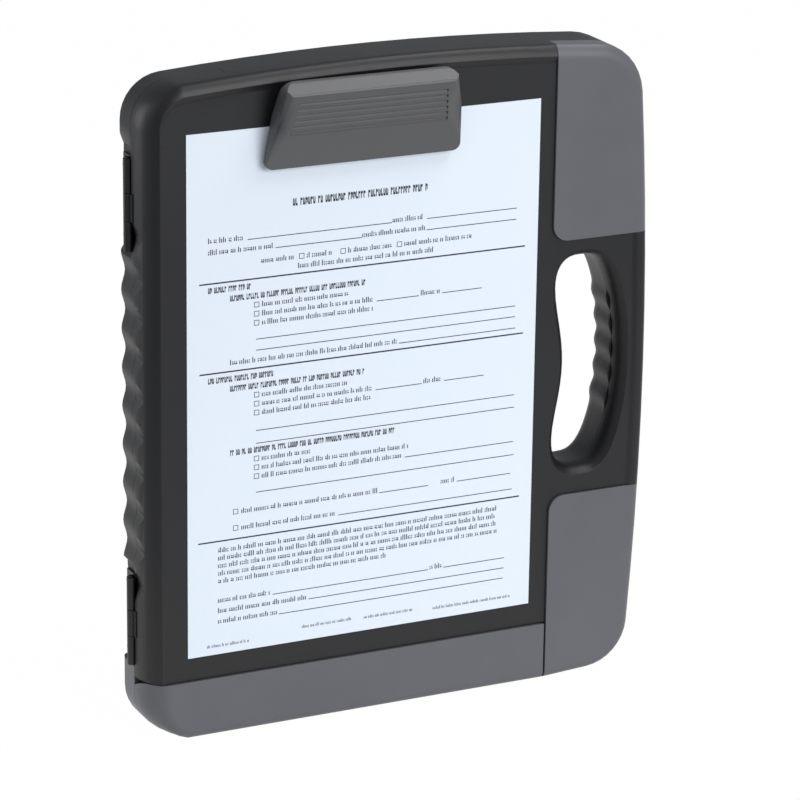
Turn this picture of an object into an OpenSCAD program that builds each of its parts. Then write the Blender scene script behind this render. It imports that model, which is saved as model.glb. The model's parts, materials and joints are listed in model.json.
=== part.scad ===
// Portable storage clipboard box: a book-like case with a clip board for a lid, a carrying handle
// and a pen compartment along the bottom.
// X runs to the right, Y to the back and Z up. The case stands on its bottom edge.

/* [Case] */
// Width of the case without its hinge barrels
case_w = 298.5; // [280:0.5:320]
// Height of the case at the crown of its top edge
case_h = 368.3; // [350:0.1:390]
// Depth of the closed case
case_d = 38.1; // [34:0.1:50]
// Depth of the front shell on its hinge side, from its face to the seam
lid_d = 20; // [19:0.5:22]
// Depth of the front shell along its top and its handle side
lid_rim_d = 12; // [11.5:0.5:14]
// Distance from the left side to the step between the two depths
step_x = 50; // [40:1:60]
// Thickness of the moulded walls
wall = 2.2; // [1.8:0.1:3]
// Radius of the rounded front and rear edges
edge_r = 4.5; // [3.5:0.1:5.5]
// Width of the front shell's rounded edge along its top, seen from the front
roll_r = 8; // [5:0.5:9]
// Width of the front shell's rounded hinge side, seen from the front
hinge_round = 14; // [12:0.5:16]
// Gap between the front and rear halves
seam_gap = 0.3; // [0.2:0.05:0.6]
// Radius of the bowed top edge
top_r = 1560; // [1200:10:2400]
// Distance from the left side to the crown of the top edge
top_mid = 143; // [130:1:160]
// Radius of the bowed handle side
side_r = 2060; // [1600:5:2600]
// Height of the crown of the handle side
side_mid = 177; // [160:1:200]
// Radius of the upper left corner
corner_tl = 24; // [20:1:28]
// Radius of the upper right corner
corner_tr = 31; // [26:1:36]
// Radius of the lower right corner
corner_br = 27; // [22:1:32]
// Radius of the lower left corner
corner_bl = 24; // [20:1:28]
// Rise of the bottom edge under the lower corner cover, in degrees
foot_rise = 3.5; // [0:0.5:6]

/* [Finger grip on the hinge side] */
// Number of scoops
scoop_count = 10; // [4:1:10]
// Distance from one scoop to the next
scoop_pitch = 21.5; // [20:0.1:21.6]
// Depth of a scoop
scoop_depth = 2.2; // [1:0.1:2.4]

/* [Board] */
// Depth that the board lies below the rim
board_recess = 1.5; // [0.8:0.1:2]
// Width of the rim round the board
rim_w = 5.5; // [5:0.1:8]
// Width of the slope from the rim down to the board
rim_slope = 4.5; // [1:0.5:5]

/* [Corner covers] */
// Thickness of the two corner covers
cover_t = 1.8; // [1.4:0.1:2]
// Width of the upper corner cover
cover_top_w = 60.1; // [58.5:0.1:62]
// Height of the upper corner cover
cover_top_h = 112.3; // [106:0.1:113]
// Width of the lower corner cover
cover_low_w = 58.5; // [57.5:0.1:60]
// Upper edge of the lower corner cover
cover_low_z = 108.6; // [100:0.2:112]
// Radius of the inner corner of each cover
cover_r = 9; // [4:0.5:14]
// Gap between a cover and the shell under and beside it
cover_fit = 0.1; // [0.05:0.05:0.2]

/* [Handle] */
// Distance from the handle side to the centre of the hand hole
hole_in = 39.5; // [38:0.1:41]
// How far the centre of the hand hole lies above the middle of the case
hole_lift = 0.2; // [-1:0.1:2]
// Half of the width of the hand hole
hole_half_w = 19.9; // [17:0.1:20]
// Half of the height of the hand hole
hole_half_h = 60.2; // [52:0.2:60.4]
// Roundness of the ends of the hand hole
hole_round = 0.66; // [0.6:0.02:0.9]
// How far the board side of the hand hole bulges into it
hole_waist = 10.8; // [4:0.2:12]
// How far the handle side of the hand hole bulges out
hole_bulge = 4; // [0:0.2:5]
// Width of the dished border round the hand hole
dish_w = 9.5; // [5:0.5:10]
// Depth of the dished border on the front
dish_d = 11; // [6:0.5:11]
// Depth of the dished border on the back
dish_back_d = 12; // [6:0.5:13]
// Thickness of the wall round the hand hole
hole_wall = 2.4; // [2:0.1:3.5]
// Number of finger ridges in the rear half of the hand hole
ridge_count = 5; // [3:1:6]
// Distance from one finger ridge to the next
ridge_pitch = 14.3; // [12:0.1:15]
// Height of a finger ridge
ridge_h = 1.6; // [0.8:0.1:2]
// How far the middle ridge lies above the centre of the hand hole
ridge_lift = 2; // [-2:0.5:3]

/* [Pen compartment] */
// Height of the pen compartment's door
door_h = 33.4; // [32:0.2:35]
// Gap between the lid and the door above and beside it
door_gap = 0.6; // [0.4:0.1:1]
// Gap at the door's free end, where the lid's corner swings past
door_end_gap = 1.2; // [1.1:0.05:1.6]
// Height of the grey rear part
tray_h = 39.4; // [38:0.1:39.4]
// Radius of the pen door's hinge pin
door_pin_r = 1.2; // [1:0.05:1.4]
// Number of lugs that carry the pen door
lug_count = 4; // [2:1:6]
// Width of a lug
lug_w = 4; // [3:0.5:6]

/* [Lid hinges] */
// Radius of the hinge barrels
barrel_r = 2.5; // [2.2:0.1:2.8]
// Radius of the hinge pins
hinge_pin_r = 1; // [0.8:0.05:1.2]
// Radial clearance of every pin in its moving bore
pin_clear = 0.05; // [0.02:0.01:0.09]
// Distance of the hinge axis outside the left side
hinge_out = 0.6; // [0.4:0.05:0.9]
// Distance of the hinge axis behind the seam
hinge_back = 2; // [1.5:0.1:2.5]
// Length of a hinge
hinge_len = 50; // [46:0.5:50]
// Length of the middle knuckle, on the lid's leaf
knuckle_mid = 15; // [12:0.5:17]
// Length of the upper knuckle
knuckle_top = 18.4; // [16:0.1:20]
// Free room above a hinge, for putting in its pin
hinge_room = 4; // [3:0.5:5]
// Distance from the top of the case down to the upper hinge
hinge_drop = 46; // [44:0.5:50]
// Distance from the pen compartment up to the lower hinge
hinge_lift = 1.2; // [1.2:0.1:4]
// Thickness of the hinge leaves
leaf_t = 1.2; // [1:0.1:1.5]

/* [Clip] */
// How far the middle of the clip lies left of the middle of the sheet
clip_shift = 4.25; // [0:0.25:8]
// Width of the clip's jaw
clip_w = 113; // [100:0.5:118]
// How much narrower the clip is at its thumb edge
clip_taper = 15; // [6:0.5:18]
// Distance from the top of the case down to the jaw's lower edge
clip_drop = 53.3; // [52:0.1:56]
// Height of the clip
clip_h = 48; // [46:0.5:50]
// Height of the rolled thumb edge
thumb_roll = 7; // [5:0.5:8]
// Radius of the edges between the clip's face and its sides, at the thumb edge
cheek_r = 5; // [3:0.5:6]
// Height below the thumb edge where those rounded edges end
cheek_h = 15; // [10:0.5:20]
// Depth of a groove in the clip's grip
groove_d = 1.1; // [0.6:0.1:1.3]
// Height of a groove at the bottom
groove_low = 1.4; // [0.8:0.1:1.6]
// Height of a groove at its mouth
groove_mouth = 2.2; // [1.7:0.1:2.4]
// Distance of the jaw's face in front of the case's face
jaw_out = 4; // [3.5:0.1:5]
// Distance of the thumb edge in front of the case's face
thumb_out = 18; // [15:0.5:20]
// Thickness of the clip's skin
clip_skin = 2.4; // [1.8:0.1:2.8]
// Depth of the clip's side skirts
skirt_d = 7; // [6:0.5:8]
// Number of grooves in the thumb face
groove_count = 6; // [3:1:7]
// Distance from one groove to the next
groove_pitch = 3.3; // [3:0.1:3.5]
// Distance from the rolled edge down to the first groove
groove_drop = 4.6; // [4:0.2:6]
// Radius of the clip's pivot pin
clip_pin_r = 1.5; // [1.2:0.1:1.8]

/* [Sheet] */
// Gap between the sheet and the upper corner cover
sheet_side_gap = 9.4; // [9:0.1:16]
// How far the sheet reaches up under the clip
sheet_tuck = 22; // [16:0.5:23]
// Thickness of the sheet of forms
sheet_t = 0.5; // [0.3:0.1:0.6]
// Left edge of the sheet
sheet_x = 23.5; // [20:0.5:25]
// Gap between the pen compartment's door and the sheet
sheet_gap = 13.6; // [12:0.2:20]

/* [Screws] */
// Radius of the screw shanks
screw_r = 1.3; // [1:0.1:1.5]
// Radius of the screw heads
head_r = 2.5; // [2.2:0.1:2.8]
// Height of the screw heads
head_h = 1.4; // [1:0.1:1.6]
// Depth of the recess for a screwdriver
drive_d = 0.7; // [0.5:0.1:0.9]
// Length of the cross recess in a screw's head
drive_len = 3; // [2.4:0.1:3.6]
// Width of the cross recess in a screw's head
drive_w = 0.7; // [0.5:0.1:1]
// Play of a screw in its pilot hole
screw_play = 0.05; // [0.02:0.01:0.1]

/* [Hidden] */
$fn = 48;

BLACK = [0.13, 0.13, 0.14];
GREY = [0.41, 0.42, 0.43];
STEEL = [0.70, 0.70, 0.72];
PAPER = [0.88, 0.92, 0.97];

arc_steps = 8;
bow_steps = 10;
edge_steps = 6;
side_steps = 6;
scoop_clear = 0.02;
backing_in = 3;
backing_d = 1.9;
door_corner = 5;
wave_steps = 8;
rim_steps = 5;
hole_end_steps = 9;
hole_end = 0.72;
past = 1;

// Planes of the two halves
lid_back = lid_d - seam_gap / 2;
base_front = lid_d + seam_gap / 2;
rim_back = lid_rim_d - seam_gap / 2;
inset = wall + cover_t + 0.2;
lid_inner_y = max(board_recess, cover_t) + wall;
base_inner_y = case_d - wall;

// Places that follow the size of the case
cover_top_x = case_w - cover_top_w;
cover_top_z = case_h - cover_top_h;
cover_low_x = case_w - cover_low_w;
hole_x = case_w - hole_in;
hole_z = case_h / 2 + hole_lift;
hinge_high_z = case_h - hinge_drop - hinge_len;
hinge_low_z = tray_h + hinge_lift;
clip_z = case_h - clip_drop;
sheet_z = door_h + sheet_gap;
sheet_top = clip_z + sheet_tuck;
sheet_end = cover_top_x - sheet_side_gap;
clip_x = (sheet_x + sheet_end) / 2 - clip_shift;

// Circles of the bowed sides and of the corners
top_c = [top_mid, case_h - top_r];
side_c = [case_w - side_r, side_mid];

function along(p, u, c, rho) =
  let (q = p - c, b = q * u)
  p + u * (-b + sqrt(b * b - q * q + rho * rho));

function meet(c1, r1, c2, r2) =
  let (
    d = c2 - c1,
    l = norm(d),
    a = (r1 * r1 - r2 * r2 + l * l) / (2 * l),
    h = sqrt(r1 * r1 - a * a)
  )
  c1 + a * d / l + h * [-d[1], d[0]] / l;

function heading(from, to) = atan2(to[1] - from[1], to[0] - from[0]);

tl_c = along([corner_tl, 0], [0, 1], top_c, top_r - corner_tl);
tr_c = meet(side_c, side_r - corner_tr, top_c, top_r - corner_tr);
foot_dir = [cos(foot_rise), sin(foot_rise)];
foot_up = [-sin(foot_rise), cos(foot_rise)];
br_c = along([cover_low_x, 0] + corner_br * foot_up, foot_dir, side_c, side_r - corner_br);
bl_c = [corner_bl, corner_bl];

// Points of the case's outline, each as [x, z, outward x, outward z]
function arc_points(c, r, from, to, steps) = [
  for (i = [0:steps])
    let (a = from + (to - from) * i / steps)
    [c[0] + r * cos(a), c[1] + r * sin(a), cos(a), sin(a)]
];

grip_z = (hinge_low_z + hinge_high_z + hinge_len) / 2;
scoop_start = grip_z + hinge_room / 2 - scoop_count * scoop_pitch / 2;

function grip_points(depth) = [
  for (i = [scoop_count * wave_steps:-1:0])
    let (
      a = 360 * i / wave_steps,
      slope = depth / 2 * sin(a) * 2 * PI / scoop_pitch,
      l = sqrt(1 + slope * slope)
    )
    [depth / 2 * (1 - cos(a)), scoop_start + i * scoop_pitch / wave_steps, -1 / l, slope / l]
];

function outline(depth) = concat(
  arc_points(bl_c, corner_bl, 180, 270, arc_steps),
  [[cover_low_x, 0, sin(foot_rise / 2), -cos(foot_rise / 2)]],
  arc_points(br_c, corner_br, foot_rise - 90, heading(side_c, br_c), arc_steps),
  arc_points(side_c, side_r, heading(side_c, br_c), heading(side_c, tr_c), bow_steps),
  arc_points(tr_c, corner_tr, heading(side_c, tr_c), heading(top_c, tr_c), arc_steps),
  arc_points(top_c, top_r, heading(top_c, tr_c), heading(top_c, tl_c), bow_steps),
  arc_points(tl_c, corner_tl, heading(top_c, tl_c), 180, arc_steps),
  grip_points(depth)
);

function distinct(list) = [
  for (i = [0:len(list) - 1])
    let (b = list[(i + 1) % len(list)])
    if (norm([list[i][0] - b[0], list[i][1] - b[1]]) > 0.01) list[i]
];

gripped = distinct(outline(scoop_depth));
plain = distinct(outline(0));

function inset_points(list, by) = [for (p = list) [p[0] - by * p[2], p[1] - by * p[3]]];

// Inset of a rounded edge of depth r at depth y behind its front
function edge_inset(y, r) = y < r ? 1 - sqrt(max(0, 1 - pow(1 - y / r, 2))) : 0;

// Points of the front form at depth y, shrunk all round by s. The hinge side is round to the seam.
function form_points(s, y) = [
  for (p = plain)
    let (
      side = max(0, -p[2]),
      top = max(0, p[3]),
      round_side = hinge_round * edge_inset(y, lid_back),
      round_edge = (edge_r - s) * edge_inset(y - s, edge_r - s) * (1 + top * (roll_r / edge_r - 1)),
      d = s + side * round_side + (1 - side) * round_edge
    )
    [p[0] - d * p[2], p[1] - d * p[3]]
];

// Hand hole: a rounded oblong with a waist on its board side. Its heights run from -1 to 1.
function ridge(z) =
  let (d = abs(z - hole_z - ridge_lift))
  d < ridge_count * ridge_pitch / 2 ? ridge_h / 2 * (1 + cos(360 * d / ridge_pitch)) : 0;

function hole_point(t, side, ridged) =
  let (
    z = hole_z + hole_half_h * t,
    half = hole_half_w * pow(1 - pow(abs(t), 2 / hole_round), hole_round / 2),
    bend = (side > 0 ? hole_bulge : hole_waist) * pow(1 - t * t, 2)
  )
  [hole_x + side * half + bend - (ridged && side > 0 ? ridge(z) : 0), z];

end_angle = asin(pow(hole_end, 1 / hole_round));
end_heights = [
  for (k = [0:hole_end_steps - 1])
    pow(sin(90 - (90 - end_angle) * k / hole_end_steps), hole_round)
];

function heights(steps) = concat(
  [for (t = end_heights) -t],
  [for (k = [0:steps]) hole_end * (2 * k / steps - 1)],
  [for (k = [hole_end_steps - 1:-1:0]) end_heights[k]]
);

right_steps = round(2 * hole_end * hole_half_h / ridge_pitch * 6);
right_heights = heights(right_steps);
left_heights = heights(14);

function hole_ring(ridged) = concat(
  [for (t = right_heights) hole_point(t, 1, ridged)],
  [for (k = [len(left_heights) - 2:-1:1]) hole_point(left_heights[k], -1, ridged)]
);

smooth_ring = hole_ring(false);
ridged_ring = hole_ring(true);

function hole_points(by, ridged) =
  let (ring = ridged ? ridged_ring : smooth_ring, n = len(ring))
  [
    for (i = [0:n - 1])
      let (q = smooth_ring[(i + 1) % n] - smooth_ring[(i + n - 1) % n])
      ring[i] + by * [q[1], -q[0]] / norm(q)
  ];

// A solid through rings of points, each ring as [y, points]
module loft(rings) {
  n = len(rings[0][1]);
  m = len(rings);
  polyhedron(
    points = [for (r = rings) for (p = r[1]) [p[0], r[0], p[1]]],
    faces = concat(
      [[for (i = [n - 1:-1:0]) i]],
      [[for (i = [0:n - 1]) (m - 1) * n + i]],
      [
        for (k = [0:m - 2])
          for (i = [0:n - 1])
            let (j = (i + 1) % n)
            for (f = [0, 1])
              f == 0
              ? [k * n + i, (k + 1) * n + j, (k + 1) * n + i]
              : [k * n + i, k * n + j, (k + 1) * n + j]
      ]
    ),
    convexity = 8
  );
}

// A moulded form with curved edges, before its true bores are cut
module moulded() {
  resize([0, 0, 0])
    children();
}

// A flat drawing in X and Z, given its thickness from y0 to y1
module slab(y0, y1) {
  translate([0, y1, 0])
    rotate([90, 0, 0])
      linear_extrude(y1 - y0, convexity = 8)
        children();
}

module rod_x(x0, x1, r) {
  translate([x0, 0, 0])
    rotate([0, 90, 0])
      cylinder(r = r, h = x1 - x0);
}

module rod_y(y0, y1, r) {
  translate([0, y0, 0])
    rotate([-90, 0, 0])
      cylinder(r = r, h = y1 - y0);
}

// The case's outer form from the front face to the seam, shrunk all round by s
module front_form(s) {
  loft(concat(
    [
      for (k = [0:edge_steps])
        let (y = s + (edge_r - s) * (1 - cos(90 * k / edge_steps)))
        [y, form_points(s, y)]
    ],
    [
      for (k = [1:side_steps])
        let (y = edge_r + (lid_back - edge_r) * k / side_steps)
        [y, form_points(s, y)]
    ]
  ));
}

// The scoops run straight back through the front shell's rounded hinge side
module front_scoops() {
  slab(-past, case_d)
    polygon(concat(
      [for (p = grip_points(scoop_depth)) [p[0] - scoop_clear, p[1]]],
      [[-past, scoop_start], [-past, scoop_start + scoop_count * scoop_pitch]]
    ));
}

// Part of the hinge side where the wall is thicker behind its round
module round_backing(w) {
  tall_box([-past, w], [-past, edge_r + backing_d], [-past, case_h]);
}

// Where the rear shell comes forward to meet the shallow part of the front shell
module step_area(grow) {
  translate([step_x - grow, rear_foot_z + 2 * wall + 1 - grow])
    square([case_w, case_h]);
  translate([cover_low_x + wall + 2 * seam_gap - grow, -past])
    square([case_w, case_h]);
}

module rear_step() {
  intersection() {
    loft([
      [lid_rim_d + seam_gap / 2, inset_points(gripped, 0)],
      [base_front + past, inset_points(gripped, 0)]
    ]);
    slab(-past, case_d)
      step_area(0);
  }
}

module rear_form() {
  loft(concat(
    [[base_front, inset_points(gripped, 0)]],
    [
      for (k = [edge_steps:-1:0])
        let (a = 90 * k / edge_steps)
        [case_d - edge_r * (1 - cos(a)), inset_points(gripped, edge_r * (1 - sin(a)))]
    ]
  ));
}

// Everything is drawn from the case's lower left front corner, then set over the origin
clip_front = thumb_out;
mid_x = (case_w - barrel_r - hinge_out) / 2;
mid_y = (case_d - clip_front) / 2;

module place() {
  translate([-mid_x, -mid_y, 0])
    children();
}

// Flat regions of the corner covers
module cover_top_area(grow) {
  difference() {
    translate([cover_top_x - grow, cover_top_z - grow])
      square([case_w, case_h]);
    translate([cover_top_x - grow, cover_top_z - grow])
      difference() {
        square(cover_r + grow);
        translate([cover_r + grow, cover_r + grow])
          circle(cover_r + grow);
      }
  }
}

module cover_low_area(grow) {
  difference() {
    translate([cover_low_x - grow, -past])
      square([case_w, cover_low_z + past + grow]);
    translate([cover_low_x - grow, cover_low_z - cover_r])
      difference() {
        square(cover_r + grow);
        translate([cover_r + grow, 0])
          circle(cover_r + grow);
      }
  }
}

// Where the lid stops above and beside the pen compartment's door
lid_foot_z = door_h + door_gap;
door_end_x = cover_low_x - door_end_gap;

module foot_area(x, z) {
  translate([-case_w, -past])
    square([case_w + x, z + past]);
}

module tall_box(x, y, z) {
  translate([x[0], y[0], z[0]])
    cube([x[1] - x[0], y[1] - y[0], z[1] - z[0]]);
}

// Lid hinges
hinge_x = -hinge_out;
hinge_y = lid_d + hinge_back;
pocket_x = 3.6;
notch_x = barrel_r - hinge_out + 0.4;
pocket_slope = 8;
hinge_zs = [hinge_high_z, hinge_low_z];
hinge_gap = 0.25;
knuckle_low = hinge_len - knuckle_top - knuckle_mid;
pocket_wall = 3.8;

function pocket_points(z, depth, low_end, high_end) = [
  [-barrel_r - past, z - low_end],
  [0, z - low_end],
  [depth, z - hinge_gap],
  [depth, z + hinge_len + hinge_room],
  [0, z + hinge_len + hinge_room + high_end],
  [-barrel_r - past, z + hinge_len + hinge_room + high_end]
];

module hinge_pockets(y0, y1, depth, slope) {
  slab(y0, y1)
    polygon(pocket_points(hinge_high_z, depth, slope / 2, slope));
  slab(y0, y1)
    polygon(pocket_points(hinge_low_z, depth, hinge_gap, slope / 2));
}

// Where the walls are thickened behind the hinges
module hinge_area() {
  for (z = hinge_zs)
    translate([-past, z - pocket_wall])
      square([past + pocket_x + pocket_wall, hinge_len + hinge_room + 2 * pocket_wall]);
}

leaf_screw_z = [6, hinge_len - 6];

// Handle
module hole_area(by, ridged) {
  polygon(hole_points(by, ridged));
}

// The hand hole with its dished border, cut through each half
dish_steps = [for (k = [0:edge_steps]) 90 * k / edge_steps];

module front_hole() {
  loft(concat(
    [[-past, hole_points(dish_w, false)]],
    [for (a = dish_steps) [dish_d * (1 - cos(a)), hole_points(dish_w * (1 - sin(a)), false)]],
    [[case_d, hole_points(0, false)]]
  ));
}

module rear_hole() {
  deep = case_d - dish_back_d;
  loft(concat(
    [[0, hole_points(0, true)]],
    [for (a = dish_steps) [deep + dish_back_d * sin(a), hole_points(dish_w * (1 - cos(a)), true)]],
    [[case_d + past, hole_points(dish_w, true)]]
  ));
}

// Stakes of the corner covers, in the X and Z of each
stake_r = 1.6;
stake_len = wall + 1.6;
stake_in = 14;
stake_out = 24;
stakes_top = [
  [cover_top_x + stake_in, cover_top_z + stake_in],
  [cover_top_x + stake_in, case_h - stake_out],
  [case_w - stake_out, case_h - 2 * stake_out]
];
stakes_low = [
  [cover_low_x + stake_in, stake_in + wall],
  [cover_low_x + stake_in, cover_low_z - stake_in],
  [case_w - stake_out, cover_low_z - stake_out]
];

module stakes(list, by) {
  for (p = list)
    translate([p[0], 0, p[1]])
      rod_y(cover_t - cover_fit - 0.2, cover_t + stake_len, stake_r + by);
}

// Clip
clip_side = clip_w / 2 - clip_taper / 2 - 6;
base_x = clip_side - 1;
base_z = [sheet_top + 2.5, clip_z + clip_h - 7.5];
base_t = 2.4;
base_face = board_recess - base_t;
clip_screw_out = 20;
clip_screw_x = [clip_x - clip_screw_out, clip_x + clip_screw_out];
clip_screw_z = base_z[1] - 5;
clip_screw_len = 6;
boss_r = 3.4;

module front_shell() {
  color(BLACK)
    place()
      difference() {
        union() {
          moulded()
            front_moulding();
          for (x = clip_screw_x)
            translate([x, 0, clip_screw_z])
              rod_y(lid_inner_y - 0.2, lid_inner_y + clip_screw_len - 1.2, boss_r);
        }
        lid_leaf_screw_holes();
        stakes(stakes_top, cover_fit);
        stakes(stakes_low, cover_fit);
        for (x = clip_screw_x)
          translate([x, 0, clip_screw_z])
            rod_y(-past, clip_screw_len + 0.5, screw_r);
      }
}

module front_moulding() {
  difference() {
    front_form(0);
    lid_cavity();
    front_scoops();
    slab(rim_back, case_d)
      step_area(seam_gap);
    difference() {
      slab(-past, rim_back + cover_fit) {
        cover_top_area(cover_fit);
        cover_low_area(cover_fit);
      }
      front_form(cover_t);
    }
    slab(-past, case_d)
      foot_area(cover_low_x + 0.4, lid_foot_z);
    board_cut();
    front_hole();
    hinge_pockets(hinge_y - barrel_r - 0.4, case_d, notch_x, pocket_slope / 2);
    for (z = hinge_zs)
      tall_box(
        [-past, pocket_x + pocket_wall + past],
        [lid_leaf_y[0] - 0.3, case_d],
        [z + knuckle_low, z + knuckle_low + knuckle_mid]
      );
  }
}

module lid_cavity() {
  difference() {
    slab(lid_inner_y, case_d)
      difference() {
        polygon(inset_points(plain, inset + scoop_depth));
        hole_area(hole_wall + dish_w / 4, false);
        foot_area(cover_low_x + wall, lid_foot_z + wall);
        hinge_area();
      }
    round_backing(hinge_round - backing_in);
  }
}

// The board lies inside its rim, from side to side
module board_cut() {
  loft(concat(
    [[-past, inset_points(plain, rim_w)]],
    [
      for (k = [0:rim_steps])
        let (t = k / rim_steps)
        [board_recess / 2 * (1 - cos(180 * t)), inset_points(plain, rim_w + rim_slope * t)]
    ]
  ));
}

module cover_skin() {
  difference() {
    front_form(0);
    front_form(cover_t - cover_fit);
  }
}

module corner_cover_top() {
  color(GREY)
    place() {
      moulded()
        intersection() {
          cover_skin();
          slab(-past, rim_back)
            cover_top_area(0);
        }
      stakes(stakes_top, 0);
    }
}

module corner_cover_bottom() {
  color(GREY)
    place() {
      moulded()
        intersection() {
          cover_skin();
          slab(-past, rim_back)
            cover_low_area(0);
        }
      stakes(stakes_low, 0);
    }
}

// Rear shell
rear_foot_z = tray_h + seam_gap;
tray_screw_x = [42, 118, 194];
tray_screw_y = (base_front + base_inner_y) / 2;

module rear_shell() {
  color(BLACK)
    place()
      difference() {
        moulded()
          rear_moulding();
        base_leaf_screw_holes();
        for (x = tray_screw_x)
          translate([x, tray_screw_y, tray_h - past])
            cylinder(r = screw_r, h = past + seam_gap + wall + past);
      }
}

module rear_moulding() {
  difference() {
    union() {
      rear_form();
      rear_step();
    }
    slab(-past, case_d + past)
      foot_area(cover_low_x, rear_foot_z);
    slab(-past, base_inner_y)
      difference() {
        polygon(inset_points(plain, wall + scoop_depth));
        hole_area(hole_wall + dish_w * 0.42, false);
        foot_area(cover_low_x + wall, rear_foot_z + wall);
        hinge_area();
      }
    rear_hole();
    hinge_pockets(-past, case_d + past, pocket_x, pocket_slope);
  }
}

// Pen compartment. The door turns about its pin in the rounded lower front edge.
door_axis = [edge_r, edge_r];
door_bore_r = door_pin_r + pin_clear;
lug_r = door_pin_r + 0.7;
bead_gap = 0.3;
bead_r = edge_r + 0.05;
notch_back = 2 * edge_r + 0.1;
tray_split_z = edge_r + 0.3;
bead_x = [corner_bl + 0.4, door_end_x];
lip_y = edge_r + 1.5;
front_roof_z = lid_foot_z - door_gap - 2.4;
door_reach = door_h - edge_r;
lug_inset = 20;
lug_span = bead_x[1] - bead_x[0] - 2 * lug_inset;
lug_x = [for (i = [0:lug_count - 1]) bead_x[0] + lug_inset + lug_span * i / (lug_count - 1)];
tray_end_x = door_end_x - 0.4;

module pen_door() {
  color(GREY)
    place()
      difference() {
        moulded()
          door_moulding();
        translate([0, door_axis[0], door_axis[1]])
          rod_x(bead_x[0] - past, bead_x[1] + past, door_bore_r);
      }
}

module door_moulding() {
  difference() {
    union() {
      difference() {
        intersection() {
          front_form(0);
          slab(-past, case_d)
            foot_area(door_end_x, door_h);
          door_sweep();
        }
        tall_box([-past, case_w], [-past, case_d], [-past, tray_split_z + bead_gap]);
        difference() {
          slab(wall, case_d)
            polygon(inset_points(plain, wall + scoop_depth));
          round_backing(corner_bl - door_corner);
        }
      }
      door_lip();
      intersection() {
        front_form(0);
        union() {
          translate([0, door_axis[0], door_axis[1]])
            rod_x(-past, bead_x[1], bead_r);
          tall_box([-past, bead_x[1]], [-past, wall], [edge_r, tray_split_z + 1]);
        }
      }
    }
    for (x = lug_x)
      door_notch(x);
  }
}

// The door's side wall stays inside the arc that clears the lid as the door turns
module door_sweep() {
  translate([0, door_axis[0], door_axis[1]])
    rod_x(-past, case_w, door_reach);
  tall_box([-past, case_w], [-past, edge_r], [-past, case_h]);
}

module door_lip() {
  intersection() {
    tall_box([corner_bl / 2, door_end_x - 2 * wall], [wall - 0.2, lip_y], [door_h - wall, door_h]);
    door_sweep();
  }
}

module door_notch(x) {
  w = lug_w / 2 + 0.4;
  translate([0, door_axis[0], door_axis[1]])
    rod_x(x - w, x + w, lug_r + 0.35);
  tall_box([x - w, x + w], [door_axis[0], notch_back], [-past, notch_back]);
  tall_box([x - w, x + w], [wall, notch_back], [edge_r, notch_back]);
}

module door_lug(x) {
  translate([x - lug_w / 2, 0, 0])
    rotate([90, 0, 90])
      linear_extrude(lug_w)
        polygon([
          [door_axis[0] + 0.4, door_axis[1] + 0.6],
          [door_axis[0] - 0.4, door_axis[1] + lug_r - 0.4],
          [2 * edge_r + 1.2, 3 * edge_r],
          [2 * edge_r + 4, 3 * edge_r],
          [2 * edge_r + 4, wall - 0.2],
          [2 * edge_r + 0.8, wall - 0.2],
          [2 * edge_r + 0.8, 2 * edge_r - 0.6]
        ]);
  translate([0, door_axis[0], door_axis[1]])
    rod_x(x - lug_w / 2, x + lug_w / 2, lug_r);
}

module pen_tray() {
  color(GREY)
    place()
      difference() {
        union() {
          moulded()
            tray_moulding();
          for (x = lug_x)
            door_lug(x);
        }
        translate([0, door_axis[0], door_axis[1]])
          rod_x(bead_x[0], case_w, door_bore_r);
        for (x = tray_screw_x)
          translate([x, tray_screw_y, tray_h - wall - past])
            cylinder(r = screw_r + 0.1, h = wall + 2 * past);
      }
}

module tray_moulding() {
  difference() {
    union() {
      intersection() {
        rear_form();
        slab(-past, case_d + past)
          foot_area(tray_end_x, tray_h);
      }
      intersection() {
        union() {
          front_form(0);
          tall_box([corner_bl, case_w], [lid_back - 0.5, base_front + 0.5], [0, tray_split_z]);
        }
        tray_floor_area();
      }
      front_roof();
    }
    tray_hollow();
    translate([0, door_axis[0], door_axis[1]])
      rod_x(-past, case_w, edge_r + bead_gap);
    tall_box([-past, case_w], [-past, door_axis[0]], [-past, 2 * edge_r]);
  }
}

// Floor and right end wall of the front half
module tray_floor_area() {
  tall_box([-past, tray_end_x], [-past, case_d], [-past, tray_split_z]);
}

module front_roof() {
  more = 0.5;
  y = lip_y + 0.8;
  tall_box(
    [corner_bl / 3, tray_end_x],
    [y, base_front + wall],
    [front_roof_z - wall - more, front_roof_z]
  );
  tall_box([tray_end_x - wall - more, tray_end_x], [y, base_front + wall], [wall - more, front_roof_z]);
}

module tray_hollow() {
  slab(base_front + wall, base_inner_y)
    difference() {
      polygon(inset_points(plain, wall + scoop_depth));
      translate([-past, tray_h - wall])
        square([case_w, case_h]);
      translate([tray_end_x - wall, -past])
        square([case_w, case_h]);
    }
  slab(edge_r + 0.6, base_front + wall + 0.01)
    difference() {
      polygon(inset_points(plain, wall + scoop_depth));
      translate([-past, front_roof_z - wall])
        square([case_w, case_h]);
      translate([tray_end_x - wall, -past])
        square([case_w, case_h]);
    }
}

module pen_door_pin() {
  color(STEEL)
    place()
      translate([0, door_axis[0], door_axis[1]])
        rod_x(bead_x[0] + 2, bead_x[1] - 3, door_pin_r);
}

// A pan head screw along +Z, its head's underside at the origin
module screw(shank) {
  difference() {
    cylinder(r = head_r, h = head_h);
    for (a = [0, 90])
      rotate([0, 0, a])
        translate([-drive_len / 2, -drive_w / 2, head_h - drive_d])
          cube([drive_len, drive_w, past]);
  }
  translate([0, 0, -shank])
    cylinder(r = screw_r - screw_play, h = shank + (head_h - drive_d) / 2);
}

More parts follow.
